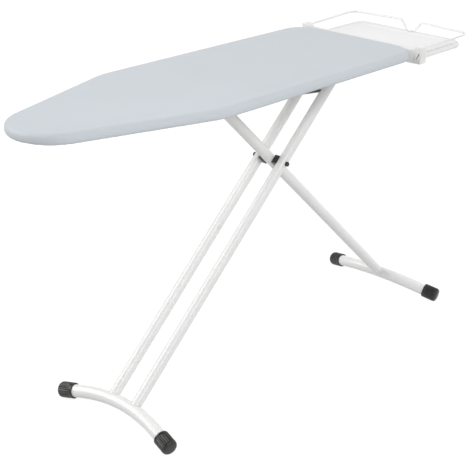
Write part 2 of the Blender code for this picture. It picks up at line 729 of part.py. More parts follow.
def make_foot(leg_end, foot_x, frame, floor, materials):
    """A foot tube across the leg's lower end, with a cap on each of its ends."""
    path = foot_path(foot_x)
    paint = materials["white_paint"]
    tube_along(leg_end + "_foot_tube", path, FOOT_RADIUS, FOOT_WALL, paint, frame)
    half = CAP_LENGTH / 2
    profile = [(half - CAP_END_WALL, FOOT_RADIUS + GAP), (-half, FOOT_RADIUS + GAP)]
    profile += [(-half, CAP_RADIUS)]
    profile += arc((half - CAP_ROUNDING, CAP_RADIUS - CAP_ROUNDING), CAP_ROUNDING, 90, 0, 3)
    for side, sign in SIDES.items():
        location = (foot_x, sign * FOOT_HALF_SPAN, 0.0)
        direction = (math.sin(FOOT_SPLAY), sign * math.cos(FOOT_SPLAY), 0.0)
        name = leg_end + "_foot_cap_" + side
        cap = turned(name, profile, materials["black_plastic"], location, direction, 28, frame)
        cut(cap, floor)


def make_leg_tube(name, y, start_x, pin_xs, foot_x, radius, frame, materials):
    """A straight leg tube along its frame's X, drilled for its pins and coped over the foot tube."""
    end_x = foot_x - foot_rise(y)
    path = [(start_x, y, 0.0), (end_x, y, 0.0)]
    tube = tube_along(name, path, radius, LEG_WALL, materials["white_paint"], frame, sides=24)
    for x in pin_xs:
        drill(tube, (x, y, 0.0), (0, 1, 0), PIN_RADIUS + BORE_PLAY, 4 * radius, frame)
    cope_path = foot_path(foot_x)
    cut(tube, rod_along(name + "_cope", cope_path, FOOT_RADIUS + GAP, None, frame, sides=20))


def make_top_plug(name, y, tube_start_x, radius, frame, materials):
    """A plastic plug that closes a leg tube's top end."""
    inside = radius - LEG_WALL - GAP
    profile = [
        (-PLUG_DEPTH, inside),
        (GAP, inside),
        (GAP, radius),
        (PLUG_RIM - PLUG_CHAMFER, radius),
        (PLUG_RIM, radius - PLUG_CHAMFER),
    ]
    location = (tube_start_x, y, 0.0)
    turned(name, profile, materials["black_plastic"], location, (-1, 0, 0), 24, frame)


def make_pivot_spacer(side, frame, materials):
    """A block between a twin tube, which it fits as a saddle, and the single tube."""
    sign = SIDES[side]
    half = SPACER_SIZE / 2
    square = [
        (UPPER_LENGTH - half, -half),
        (UPPER_LENGTH + half, -half),
        (UPPER_LENGTH + half, half),
        (UPPER_LENGTH - half, half),
    ]
    wing = TWIN_Y - math.sqrt((TWIN_RADIUS + GAP) ** 2 - half**2) - GAP
    low_y, high_y = sorted((sign * (SINGLE_RADIUS + GAP), sign * wing))
    black = materials["black_plastic"]
    spacer = prism("pivot_spacer_" + side, square, "XZ", low_y, high_y, black, frame)
    saddle_path = [
        (UPPER_LENGTH - 2 * SPACER_SIZE, sign * TWIN_Y, 0.0),
        (UPPER_LENGTH + 2 * SPACER_SIZE, sign * TWIN_Y, 0.0),
    ]
    saddle_radius = TWIN_RADIUS + GAP
    cut(spacer, rod_along("saddle_" + side, saddle_path, saddle_radius, None, frame, sides=24))
    centre = (UPPER_LENGTH, sign * TWIN_Y, 0.0)
    drill(spacer, centre, (0, 1, 0), PIN_RADIUS + BORE_PLAY, 2 * TWIN_SPACING, frame)


def make_pivot_end_cap(side, frame, materials):
    """A round cap on the pivot rod's end, outside a twin tube."""
    sign = SIDES[side]
    seat = TWIN_Y + TWIN_RADIUS + GAP
    bore = PIN_RADIUS + BORE_PLAY
    edge = (END_CAP_THICKNESS - END_CAP_ROUNDING, END_CAP_RADIUS - END_CAP_ROUNDING)
    profile = [(END_CAP_BORE_DEPTH, bore), (0.0, bore), (0.0, END_CAP_RADIUS)]
    profile += arc(edge, END_CAP_ROUNDING, 90, 0, 3)
    location = (UPPER_LENGTH, sign * seat, 0.0)
    name = "pivot_end_cap_" + side
    turned(name, profile, materials["black_plastic"], location, (0, sign, 0), 20, frame)


def make_pivot(frame, materials):
    half_length = TWIN_Y + TWIN_RADIUS + END_CAP_BORE_DEPTH
    profile = [(-half_length, PIN_RADIUS), (half_length, PIN_RADIUS)]
    location = (UPPER_LENGTH, 0.0, 0.0)
    turned("pivot_rod", profile, materials["zinc_steel"], location, (0, 1, 0), 20, frame)
    for side in SIDES:
        make_pivot_spacer(side, frame, materials)
        make_pivot_end_cap(side, frame, materials)


def make_twin_leg(floor, materials):
    """Two tubes side by side. Its frame is on the top hinge, with X down the leg to the nose side."""
    frame = add_frame("twin_leg_frame", (HINGE_X, 0.0, HINGE_Z), math.pi - LEAN)
    foot_x = UPPER_LENGTH + LOWER_LENGTH
    for side, sign in SIDES.items():
        y = sign * TWIN_Y
        name = "twin_tube_" + side
        pins = (0.0, UPPER_LENGTH)
        make_leg_tube(name, y, -LEG_OVERRUN, pins, foot_x, TWIN_RADIUS, frame, materials)
        make_top_plug("twin_top_plug_" + side, y, -LEG_OVERRUN, TWIN_RADIUS, frame, materials)
    make_foot("nose", foot_x, frame, floor, materials)
    make_pivot(frame, materials)


def make_slide_bush(side, frame, materials):
    """A flanged nylon bush on the slide pin, which runs in the rail's slot."""
    sign = SIDES[side]
    start = SINGLE_RADIUS + GAP
    flange = RAIL_HALF_WIDTH + GAP - start
    bore = PIN_RADIUS + BORE_PLAY
    end = flange + BUSH_FLANGE_THICKNESS
    profile = [(0.0, bore), (0.0, BUSH_RADIUS), (flange, BUSH_RADIUS)]
    profile += [(flange, BUSH_FLANGE_RADIUS), (end, BUSH_FLANGE_RADIUS), (end, bore)]
    location = (-UPPER_LENGTH, sign * start, 0.0)
    white = materials["white_plastic"]
    turned("slide_bush_" + side, profile, white, location, (0, sign, 0), 20, frame, looped=True)


def make_single_leg(floor, materials):
    """One tube between the twin tubes. Its frame is on the centre pivot, with X down the leg."""
    frame = add_frame("single_leg_frame", (PIVOT_X, 0.0, PIVOT_Z), LEAN)
    start = -UPPER_LENGTH - LEG_OVERRUN
    pins = (-UPPER_LENGTH, 0.0)
    make_leg_tube("single_tube", 0.0, start, pins, LOWER_LENGTH, SINGLE_RADIUS, frame, materials)
    make_top_plug("single_top_plug", 0.0, start, SINGLE_RADIUS, frame, materials)
    make_foot("tail", LOWER_LENGTH, frame, floor, materials)
    half_length = RAIL_HALF_WIDTH + BUSH_FLANGE_THICKNESS + RACK_THICKNESS + SLIDE_PIN_OVERHANG
    profile = [(-half_length, PIN_RADIUS), (half_length, PIN_RADIUS)]
    location = (-UPPER_LENGTH, 0.0, 0.0)
    turned("slide_pin", profile, materials["zinc_steel"], location, (0, 1, 0), 20, frame)
    for side in SIDES:
        make_slide_bush(side, frame, materials)


# ------------------------------------------------------------ release lever


def rack_outline():
    """The rack in the XZ plane, about the lever's axis: notches along its top edge that stop the
    slide pin on its way to the nose, and an arm up to the lever rod."""
    tips = HINGE_Z - PIN_RADIUS - RACK_CLEARANCE - LEVER_Z
    low = tips - RACK_HEIGHT
    valley = tips - RACK_TOOTH_DEPTH
    pin_x = slide_pin_x(LEAN) - LEVER_X
    outline = []
    for notch in range(-RACK_NOTCHES_TO_NOSE, RACK_NOTCHES_TO_TAIL + 1):
        wall = pin_x + notch * RACK_PITCH - PIN_RADIUS - RACK_CLEARANCE
        outline += [(wall - RACK_TOOTH_LAND, tips), (wall, tips), (wall, valley)]
        outline += [(wall + 2 * PIN_RADIUS, valley)]
    nose_end = outline[0][0] - RACK_NOSE_MARGIN
    arm_start = pin_x + RACK_NOTCHES_TO_TAIL * RACK_PITCH + RACK_ARM_START
    outline += [(arm_start, tips), (-RACK_EYE_RADIUS, 0.0)]
    outline += arc((0.0, 0.0), RACK_EYE_RADIUS, 135, -45, 6)
    outline += [(arm_start + RACK_ARM_WIDTH, low), (nose_end, low)]
    outline += [(nose_end, tips - RACK_NOSE_CHAMFER)]
    return outline


def make_lever(materials):
    """The lever rod turns under the rear rail crossbar. Its handle lies along the board on the
    user's side, and its inner end carries the rack."""
    frame = add_frame("lever_frame", (LEVER_X, 0.0, LEVER_Z), 0.0)
    rack_y = -(RAIL_HALF_WIDTH + GAP + BUSH_FLANGE_THICKNESS + 2 * GAP)
    rack_end_y = rack_y - RACK_THICKNESS
    zinc = materials["zinc_steel"]
    prism("height_rack", rack_outline(), "XZ", rack_end_y, rack_y, zinc, frame)
    handle_end = Vector((LEVER_HANDLE, -LEVER_REACH, -LEVER_HANDLE_DROP))
    elbow = Vector((0.0, -LEVER_REACH, 0.0))
    path = rounded_path([(0.0, rack_end_y - GAP, 0.0), elbow, handle_end], [LEVER_BEND])
    rod_along("lever_rod", path, LEVER_RADIUS, zinc, frame, sides=14)
    direction = (handle_end - elbow).normalized()
    bore = LEVER_RADIUS + BORE_PLAY
    mouth = GRIP_PAST_ROD - GRIP_LENGTH
    end = (GRIP_PAST_ROD - GRIP_ROUNDING, GRIP_RADIUS - GRIP_ROUNDING)
    profile = [(GAP, bore), (mouth, bore), (mouth, GRIP_RADIUS - GRIP_CHAMFER)]
    profile += [(mouth + 2 * GRIP_CHAMFER, GRIP_RADIUS)] + arc(end, GRIP_ROUNDING, 90, 0, 3)
    black = materials["black_plastic"]
    turned("lever_grip", profile, black, handle_end, direction, 20, frame)


def make_lever_bracket(materials):
    """A strip under the crossbar with an ear at each end for the lever rod."""
    inner = LEVER_INNER_EAR_Y
    outer = LEVER_BEND + LEVER_OUTER_EAR_SETBACK - LEVER_REACH
    outline = channel_outline(
        LEVER_Z - LEVER_EAR_BELOW_ROD,
        UNDER_CROSSBARS,
        inner - outer,
        (inner + outer) / 2,
        BRACKET_WALL,
    )
    start = LEVER_X - LEVER_BRACKET_WIDTH / 2
    end = LEVER_X + LEVER_BRACKET_WIDTH / 2
    bracket = prism("lever_bracket", outline, "YZ", start, end, materials["white_paint"])
    centre = (LEVER_X, (inner + outer) / 2, LEVER_Z)
    drill(bracket, centre, (0, 1, 0), LEVER_RADIUS + BORE_PLAY, 2 * (inner - outer))


def make_lever_spring(materials):
    """A coil round the lever rod, which presses the rack up against the slide pin."""
    radius = LEVER_RADIUS + SPRING_WIRE_RADIUS + 2 * GAP
    steps_in_turn = 10
    path = []
    for step in range(SPRING_TURNS * steps_in_turn + 1):
        turn = 2 * math.pi * step / steps_in_turn
        x = LEVER_X + radius * math.sin(turn)
        y = SPRING_START_Y - SPRING_PITCH * step / steps_in_turn
        path.append((x, y, LEVER_Z + radius * math.cos(turn)))
    rod_along("lever_spring", path, SPRING_WIRE_RADIUS, materials["zinc_steel"], sides=6)


# ----------------------------------------------------------------- assembly


def clear_scene():
    for old in list(bpy.data.objects):
        bpy.data.objects.remove(old, do_unlink=True)


def make_floor_cutter():
    """The space below the floor, which flattens the caps where they stand."""
    half_x = BOARD_LENGTH
    half_y = BOARD_WIDTH
    outline = [(-half_x, -half_y), (half_x, -half_y), (half_x, half_y), (-half_x, half_y)]
    return prism("floor_cutter", outline, "XY", -CAP_LENGTH, 0.0, None)


def main():
    clear_scene()
    materials = make_materials()
    make_cover(materials)
    make_foam_pad(materials)
    make_deck(materials)
    make_rim(materials)
    make_crossbars(materials)
    make_height_rail(materials)
    make_tail_beam(materials)
    make_rest_frame(materials)
    make_rest_plate(materials)
    make_guard_wire(materials)
    for side in SIDES:
        make_twin_leg_hinge(side, materials)
        make_beam_carrier(side, materials)
        make_rest_corner(side, materials)
    floor = make_floor_cutter()
    make_twin_leg(floor, materials)
    make_single_leg(floor, materials)
    make_lever_bracket(materials)
    make_lever_spring(materials)
    make_lever(materials)


main()
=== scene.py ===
"""The looks of the ironing board: cloth, pad, pierced deck, paint, plastic and the small fittings.

Every place is read from the frame. Metres, +Z up; the board's nose is at -X and the user's side is -Y.
"""

import json
import math

import bmesh
import bpy
from mathutils import Matrix, Vector, bvhtree, geometry, noise


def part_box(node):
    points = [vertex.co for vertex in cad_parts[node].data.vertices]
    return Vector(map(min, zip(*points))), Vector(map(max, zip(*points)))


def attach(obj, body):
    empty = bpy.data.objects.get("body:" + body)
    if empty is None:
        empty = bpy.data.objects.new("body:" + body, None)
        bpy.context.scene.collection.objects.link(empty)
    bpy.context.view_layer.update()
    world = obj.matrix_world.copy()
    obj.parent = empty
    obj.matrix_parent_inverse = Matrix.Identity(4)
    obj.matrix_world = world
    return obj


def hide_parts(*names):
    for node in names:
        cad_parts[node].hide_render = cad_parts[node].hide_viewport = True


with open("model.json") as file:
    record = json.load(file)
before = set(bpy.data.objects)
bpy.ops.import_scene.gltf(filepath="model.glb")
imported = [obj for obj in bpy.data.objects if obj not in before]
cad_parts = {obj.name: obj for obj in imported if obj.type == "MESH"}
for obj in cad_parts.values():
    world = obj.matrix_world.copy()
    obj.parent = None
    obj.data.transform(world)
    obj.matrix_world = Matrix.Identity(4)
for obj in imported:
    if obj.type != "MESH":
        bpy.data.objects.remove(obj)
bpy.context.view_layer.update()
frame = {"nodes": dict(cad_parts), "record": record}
NODES = frame["nodes"]

# Camera
CAMERA_POSITION = (-2.1609, -1.8938, 1.6093)
CAMERA_HEADING = math.radians(-48.33)
CAMERA_DOWN = math.radians(23.25)
CAMERA_ROLL = math.radians(1.16)
CAMERA_LENS = 88.9
SENSOR_WIDTH = 36.0

# Studio. A light's place is a direction and a distance from the middle of the legs.
SKY_LEVEL = 0.15
GROUND_LEVEL = 0.50
BACKDROP_LEVEL = 0.92
BACKDROP_DIRECTION = (0.83, 0.11, 0.55)
BACKDROP_FADE = (0.40, 0.82)
KEY = {"direction": (-0.55, 0.65, 0.53), "distance": 8.0, "size": (6.0, 5.0), "level": 0.72}
FRONT = {"direction": (-0.35, -0.80, 0.48), "distance": 6.5, "size": (5.0, 4.0), "level": 0.56}
STRIP = {"direction": (0.56, -0.61, 0.52), "distance": 5.0, "size": (3.5, 1.8), "level": 0.12}
HORIZON_FADE = (-0.05, 0.05)
FLOOR_GLOW = 0.92
FLOOR_GREY = (0.15, 0.15, 0.15, 1.0)
FLOOR_REACH = 30.0
FLOOR_DROP = 0.0002          # keeps the floor clear of the feet

# Cloth cover and foam pad
CLOTH_THICKNESS = 0.0008
CLOTH_VOXEL = 0.006
CLOTH_FRAMES = 20
CLOTH_PRESSURE = 4.0
CLOTH_QUALITY = 4
CLOTH_MASS = 0.3
CLOTH_SMOOTHING = 3
CLOTH_SWELL = 0.0016         # the most that the cloth may be pushed out by its pad
COVER_START_INSET = 0.0003   # the cloth starts smaller by this much, and swells to its place
PAD_CLEARANCE = 0.0012       # between the pad and the cloth before it swells
COVER_ROUNDING = 0.013
COVER_LOWER_ROUNDING = 0.008
COVER_FLAT_REACH = 0.035     # from the board's edge to where the cloth's top is flat
COVER_CROWN = 0.0004         # from the top's edge up to its flat middle
COVER_HELD_HEIGHT = 0.004    # the cloth is held below this height while it swells
UPPER_ARC_STEPS = 6
LOWER_ARC_STEPS = 4
PAD_ARC_STEPS = 5
UNDERSIDE_NORMAL = -0.85     # a face that points lower than this is part of the underside
RIPPLE_SCALE = 9.0
RIPPLE_ASPECT = 1.6
RIPPLE_SLICE = 3.7
RIPPLE_HEIGHT = 0.00035
GATHER_START = 0.006         # from the board's edge to where the gathers start, underneath
GATHER_DEPTH = 0.0022
GATHER_DEEPENING = 1.3       # over 1, the gathers stay shallow for longer
GATHER_PITCH = 0.013
GATHER_STEPS = 9
GATHER_HEIGHT = 0.0010       # from the cover's lowest point to the gathers' start
GATHER_RISE = 0.0003
HEM_REACH = 0.045            # from the board's edge to the hem
HEM_RADIUS = 0.0022
HEM_SIDES = 8
HEM_DROP = 0.0004
HEM_WAVE = 0.0006
OUTLINE_POINTS = 420
OUTLINE_SPANS = 140          # each tangent is taken over about two of these spans

# Pierced deck
HOLE_RADIUS = 0.0042
HOLE_PITCH = 0.0165
HOLE_SIDES = 10
HOLE_MARGIN = 0.024          # from the deck's edge to the nearest holes
DECK_OUTLINE_POINTS = 200
PUNCH_OVERREACH = 0.002

# Foot caps
FOOT_SPLAY = math.radians(16.5)
FLUTES = 20
FLUTE_DEPTH = 0.0013
FLUTE_FACETS = 6
CAP_END_WALL = 0.005
CAP_AXIS_RADIUS = 0.0005     # of the small rings that close the cap on its axis
CAP_MOUTH_TOLERANCE = 0.0002

# Fasteners
RIVET_RADIUS = 0.0036
LEVER_RIVET_RADIUS = 0.0032
RIVET_ASPECT = 0.0018 / 0.0042
RIVET_SIDES = 16
RIVET_PROFILE = [(0.0, 1.0), (0.25, 1.0), (0.6, 0.86), (0.88, 0.55), (1.0, 0.15)]
FLANGE_THICKNESS = 0.0015
BRACKET_RIVET_INSET = 0.007
CARRIER_RIVET_INSET = 0.012
CARRIER_RIVET_SPREAD = 0.006
CARRIER_RIVET_DROP = 0.003
RAIL_RIVET_INSETS = (0.008, 0.018)
LEVER_RIVET_INSET = 0.020

# Lever grip
GRIP_BORE = 0.0043
GRIP_AXIS_RADIUS = 0.0004    # of the small rings that close the grip on its axis
GRIP_END_WALL = 0.006
GRIP_MOUTH_REACH = 0.016     # the CAD grip's points this near its mouth's corner lie round the mouth
GRIP_TIP_REACH = 0.010
GRIP_RINGS = 9
GRIP_RINGS_START = 0.012
GRIP_RINGS_MARGIN = 0.028    # the grip's length that holds no rings
GRIP_RING_DEPTH = 0.0009
GRIP_SIDES = 28

# Iron rest
PLATE_MARGIN = 0.024
PLATE_SINK = 0.0022
PLATE_BOARD_SIDE = 0.55      # the panel's margin on the board's side, as a share of the others
PLATE_CORNER_STEPS = 10


# ------------------------------------------------------------ small helpers


def box_of(node):
    low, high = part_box(node)
    return Vector(low), Vector(high)


def middle_of(node):
    low, high = box_of(node)
    return (low + high) / 2


def dress(piece, material, body):
    """Gives a piece its finish and the body that it rides on."""
    piece.data.materials.clear()
    piece.data.materials.append(material)
    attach(piece, body)


def link(name, mesh, material, body, smooth_angle=35):
    """A new piece of the object. Edges sharper than smooth_angle stay sharp, unless it is 0."""
    mesh.shade_smooth()
    if smooth_angle:
        mesh.set_sharp_from_angle(angle=math.radians(smooth_angle))
    piece = bpy.data.objects.new(name, mesh)
    bpy.context.scene.collection.objects.link(piece)
    dress(piece, material, body)
    return piece


def mesh_from_rings(name, rings, looped=False):
    """A closed mesh through rings with equal numbers of points.

    A looped one joins its last ring to its first, and has no ends.
    """
    bm = bmesh.new()
    rows = [[bm.verts.new(point) for point in ring] for ring in rings]
    pairs = list(zip(rows, rows[1:]))
    if looped:
        pairs.append((rows[-1], rows[0]))
    else:
        bm.faces.new(rows[0])
        bm.faces.new(rows[-1])
    for first, second in pairs:
        for index in range(len(first)):
            following = (index + 1) % len(first)
            bm.faces.new((first[index], first[following], second[following], second[index]))
    bmesh.ops.recalc_face_normals(bm, faces=bm.faces)
    mesh = bpy.data.meshes.new(name)
    bm.to_mesh(mesh)
    bm.free()
    return mesh


def apply_modifiers(piece):
    """Applies the piece's modifiers, and leaves none on it."""
    graph = bpy.context.evaluated_depsgraph_get()
    graph.update()
    mesh = bpy.data.meshes.new_from_object(piece.evaluated_get(graph))
    piece.modifiers.clear()
    piece.data = mesh


# ---------------------------------------------------------------- materials


class Shader:
    """A material's node tree, with short ways to add the nodes that the finishes below share."""

    def __init__(self, name, roughness, **uniform):
        self.material = bpy.data.materials.new(name)
        self.material.use_nodes = True
        self.tree = self.material.node_tree
        self.surface = self.tree.nodes["Principled BSDF"]
        self.surface.inputs["Roughness"].default_value = roughness
        for socket, value in uniform.items():
            self.surface.inputs[socket.replace("_", " ")].default_value = value
        self.place = self.add("ShaderNodeTexCoord").outputs["Object"]

    def add(self, kind, **settings):
        node = self.tree.nodes.new(kind)
        for key, value in settings.items():
            setattr(node, key, value)
        return node

    def join(self, source, target):
        self.tree.links.new(source, target)

    def noise(self, scale, detail=3.0, stretch=(1, 1, 1)):
        node = self.add("ShaderNodeTexNoise")
        node.inputs["Scale"].default_value = scale
        node.inputs["Detail"].default_value = detail
        place = self.place
        if stretch != (1, 1, 1):
            mapping = self.add("ShaderNodeMapping")
            mapping.inputs["Scale"].default_value = stretch
            self.join(self.place, mapping.inputs["Vector"])
            place = mapping.outputs["Vector"]
        self.join(place, node.inputs["Vector"])
        return node.outputs["Fac"]

    def ramp(self, source, stops):
        """A colour or a grey that follows source through (position, value) stops."""
        node = self.add("ShaderNodeValToRGB")
        elements = node.color_ramp.elements
        while len(elements) < len(stops):
            elements.new(0.5)
        for element, (position, value) in zip(elements, stops):
            element.position = position
            colour = value if isinstance(value, tuple) else (value, value, value)
            element.color = (*colour, 1.0)
        self.join(source, node.inputs["Fac"])
        return node.outputs["Color"]

    def math(self, operation, first, second):
        node = self.add("ShaderNodeMath", operation=operation)
        for value, socket in ((first, node.inputs[0]), (second, node.inputs[1])):
            if isinstance(value, (int, float)):
                socket.default_value = value
            else:
                self.join(value, socket)
        return node.outputs["Value"]

    def colour(self, source):
        self.join(source, self.surface.inputs["Base Color"])

    def roughness(self, source):
        self.join(source, self.surface.inputs["Roughness"])

    def bump(self, height, distance, strength=1.0):
        """Adds relief; a second call lies on top of the first."""
        node = self.add("ShaderNodeBump")
        node.inputs["Distance"].default_value = distance
        node.inputs["Strength"].default_value = strength
        self.join(height, node.inputs["Height"])
        normal = self.surface.inputs["Normal"]
        if normal.is_linked:
            self.join(normal.links[0].from_socket, node.inputs["Normal"])
        self.join(node.outputs["Normal"], normal)

    def threads(self, axis, pitch):
        """A wave across the threads that run square to axis."""
        node = self.add("ShaderNodeTexWave", bands_direction=axis, wave_profile="SIN")
        node.inputs["Scale"].default_value = 2 * math.pi / (20 * pitch)
        self.join(self.place, node.inputs["Vector"])
        return node.outputs["Fac"]


def shade(colour, factor):
    return tuple(channel * factor for channel in colour)


def cover_cloth():
    """Plain-woven cotton with a faint metallised finish, a little uneven from thread to thread."""
    colour = (0.588, 0.630, 0.664)
    gloss = {"Metallic": 0.08, "Specular_IOR_Level": 0.2, "Sheen_Weight": 0.1, "Sheen_Roughness": 0.4}
    s = Shader("cover_cloth", 0.6, **gloss)
    pitch = 0.0009
    weave = s.math("ADD", s.threads("X", pitch), s.threads("Y", pitch))
    weave = s.math("ADD", weave, s.threads("Z", pitch))
    weave = s.math("MULTIPLY", weave, 0.33)
    slub = s.noise(260.0, 2.0, (1, 6, 6))
    tone = s.math("ADD", s.math("MULTIPLY", slub, 0.55), s.math("MULTIPLY", s.noise(3.5), 0.45))
    s.colour(s.ramp(tone, [(0.3, shade(colour, 0.965)), (0.7, shade(colour, 1.03))]))
    s.roughness(s.ramp(s.noise(14.0), [(0.35, 0.56), (0.7, 0.64)]))
    s.bump(s.noise(22.0, 2.0), 0.0006, 0.25)
    s.bump(weave, 0.00012, 0.5)
    return s.material


def foam():
    s = Shader("foam", 0.95, Sheen_Weight=0.1)
    cells = s.add("ShaderNodeTexVoronoi")
    cells.inputs["Scale"].default_value = 700.0
    s.join(s.place, cells.inputs["Vector"])
    s.colour(s.ramp(cells.outputs["Distance"], [(0.1, (0.86, 0.84, 0.76)), (0.8, (0.6, 0.57, 0.48))]))
    s.bump(cells.outputs["Distance"], 0.0004, 0.6)
    return s.material


def powder_coat(name, colour, roughness, texture=0.5):
    """Baked powder paint: a fine orange peel, with faint scuffs in its gloss."""
    s = Shader(name, roughness, Coat_Weight=0.25, Coat_Roughness=0.12)
    tone = s.noise(7.0, 4.0)
    s.colour(s.ramp(tone, [(0.3, shade(colour, 0.975)), (0.75, shade(colour, 1.012))]))
    scuffs = s.noise(30.0, 5.0)
    stops = [(0.4, roughness - 0.02), (0.62, roughness + 0.01), (0.8, roughness + 0.06)]
    s.roughness(s.ramp(scuffs, stops))
    s.bump(s.noise(900.0, 2.0), 0.00001, texture)
    return s.material


def moulded_plastic(name, colour, roughness, grain=0.4, **uniform):
    """Injection-moulded plastic with a fine spark-eroded grain."""
    s = Shader(name, roughness, **uniform)
    s.colour(s.ramp(s.noise(18.0, 4.0), [(0.3, shade(colour, 0.9)), (0.75, shade(colour, 1.1))]))
    s.roughness(s.ramp(s.noise(60.0, 4.0), [(0.3, roughness - 0.06), (0.75, roughness + 0.1)]))
    grains = s.add("ShaderNodeTexVoronoi")
    grains.inputs["Scale"].default_value = 1500.0
    s.join(s.place, grains.inputs["Vector"])
    s.bump(grains.outputs["Distance"], 0.00006, grain)
    return s.material


def zinc_plate():
    """Bright zinc with fine drawing marks and cloudy patches."""
    s = Shader("zinc_steel", 0.3, Metallic=1.0)
    clouds = s.noise(90.0, 3.0)
    s.colour(s.ramp(clouds, [(0.3, (0.56, 0.57, 0.60)), (0.7, (0.72, 0.72, 0.70))]))
    marks = s.noise(500.0, 3.0, (1, 0.06, 1))
    s.roughness(s.ramp(marks, [(0.3, 0.24), (0.7, 0.42)]))
    s.bump(marks, 0.00004, 0.5)
    return s.material


MATERIALS = {
    "cover_cloth": cover_cloth(),
    "foam": foam(),
    "white_paint": powder_coat("white_paint", (0.85, 0.845, 0.84), 0.32),
    "deck_paint": powder_coat("deck_paint", (0.72, 0.72, 0.71), 0.38),
    "plate_paint": powder_coat("plate_paint", (0.89, 0.89, 0.89), 0.36, 0.8),
    "white_plastic": moulded_plastic("white_plastic", (0.84, 0.84, 0.83), 0.36),
    "black_plastic": moulded_plastic("black_plastic", (0.018, 0.016, 0.015), 0.34),
    "zinc_steel": zinc_plate(),
}


def paint_cad_nodes():
    """Each CAD node that stays takes the finish of its slot."""
    for part in frame["record"]["subparts"]:
        node = NODES[part["node"]]
        node.data.materials.clear()
        node.data.materials.append(MATERIALS[part["material_slot"]])


# ------------------------------------------------------------------ outline


class Outline:
    """The plan of a CAD node that follows the board's edge, with even points and outward normals."""

    def __init__(self, node, count):
        points = [vertex.co.xy for vertex in NODES[node].data.vertices]
        hull = [Vector(points[index]) for index in geometry.convex_hull_2d(points)]
        if sum(a.cross(b) for a, b in zip(hull, hull[1:] + hull[:1])) < 0:
            hull.reverse()
        lengths = [(b - a).length for a, b in zip(hull, hull[1:] + hull[:1])]
        total = sum(lengths)
        self.length = total
        even = []
        edge = 0
        passed = 0.0
        for step in range(count):
            along = total * step / count
            while passed + lengths[edge] < along:
                passed += lengths[edge]
                edge += 1
            share = (along - passed) / lengths[edge]
            even.append(hull[edge].lerp(hull[(edge + 1) % len(hull)], share))
        self.points = even
        self.normals = []
        reach = max(2, count // OUTLINE_SPANS)
        for index in range(count):
            tangent = even[(index + reach) % count] - even[(index - reach) % count]
            self.normals.append(Vector((tangent.y, -tangent.x)).normalized())

    def ring(self, outward, z):
        """The outline moved outwards, at a height, which may be a function of the point's number."""
        ring = []
        for index, (point, normal) in enumerate(zip(self.points, self.normals)):
            place = point + normal * outward
            ring.append(Vector((place.x, place.y, z(index) if callable(z) else z)))
        return ring


def quarter(centre_out, centre_z, radius_out, radius_z, start, end, steps):
    """(outward, z) pairs on an elliptical arc, from one angle to another, in degrees."""
    pairs = []
    for step in range(steps + 1):
        angle = math.radians(start + (end - start) * step / steps)
        pairs.append((centre_out + radius_out * math.cos(angle), centre_z + radius_z * math.sin(angle)))
    return pairs


# ----------------------------------------------------------- cover and pad


def swell(piece, held_below):
    """Fills a closed form like a pad with Blender's cloth, holding what lies below a height, and
    keeps how far each point moved within CLOTH_SWELL."""
    scene = bpy.context.scene
    start = [vertex.co.copy() for vertex in piece.data.vertices]
    held = piece.vertex_groups.new(name="held")
    held.add([i for i, point in enumerate(start) if point.z < held_below], 1.0, "REPLACE")
    cloth = piece.modifiers.new("cloth", "CLOTH")
    cloth.settings.quality = CLOTH_QUALITY
    cloth.settings.mass = CLOTH_MASS
    cloth.settings.vertex_group_mass = "held"
    cloth.settings.use_pressure = True
    cloth.settings.uniform_pressure_force = CLOTH_PRESSURE
    cloth.settings.effector_weights.gravity = 0.0
    cloth.point_cache.frame_start = 1
    cloth.point_cache.frame_end = CLOTH_FRAMES
    for frame_number in range(1, CLOTH_FRAMES + 1):
        scene.frame_set(frame_number)
    graph = bpy.context.evaluated_depsgraph_get()
    moved = [vertex.co.copy() for vertex in piece.evaluated_get(graph).data.vertices]
    piece.modifiers.clear()
    piece.vertex_groups.clear()
    scene.frame_set(1)
    for vertex, before, after in zip(piece.data.vertices, start, moved):
        move = after - before
        if move.length > 1e-7:
            reach = CLOTH_SWELL * math.tanh(move.length / CLOTH_SWELL)
            vertex.co = before + move * (reach / move.length)


def smooth(mesh, times):
    """Evens the mesh out a little."""
    bm = bmesh.new()
    bm.from_mesh(mesh)
    for _ in range(times):
        bmesh.ops.smooth_vert(
            bm, verts=bm.verts, factor=0.5, use_axis_x=True, use_axis_y=True, use_axis_z=True
        )
    bm.to_mesh(mesh)
    bm.free()


def make_swollen_form(name, shape, held_below):
    """A closed form with the shape's outside, remeshed evenly and filled by the cloth simulation."""
    piece = bpy.data.objects.new(name, shape.data.copy())
    bpy.context.scene.collection.objects.link(piece)
    remesh = piece.modifiers.new("even", "REMESH")
    remesh.mode = "VOXEL"
    remesh.voxel_size = CLOTH_VOXEL
    apply_modifiers(piece)
    smooth(piece.data, CLOTH_SMOOTHING)
    snap = piece.modifiers.new("snap", "SHRINKWRAP")
    snap.target = shape
    snap.wrap_method = "NEAREST_SURFACEPOINT"
    apply_modifiers(piece)
    swell(piece, held_below)
    return piece


def subdivide(piece):
    """Adds one level of subdivision."""
    fine = piece.modifiers.new("fine", "SUBSURF")
    fine.levels = 1
    fine.render_levels = 1
    apply_modifiers(piece)


def keep_outside(piece, shape):
    """Moves each point that lies inside the shape out to its surface."""
    graph = bpy.context.evaluated_depsgraph_get()
    tree = bvhtree.BVHTree.FromObject(shape, graph)
    for vertex in piece.data.vertices:
        place, normal, _, _ = tree.find_nearest(vertex.co)
        if (vertex.co - place).dot(normal) < 0:
            vertex.co = place


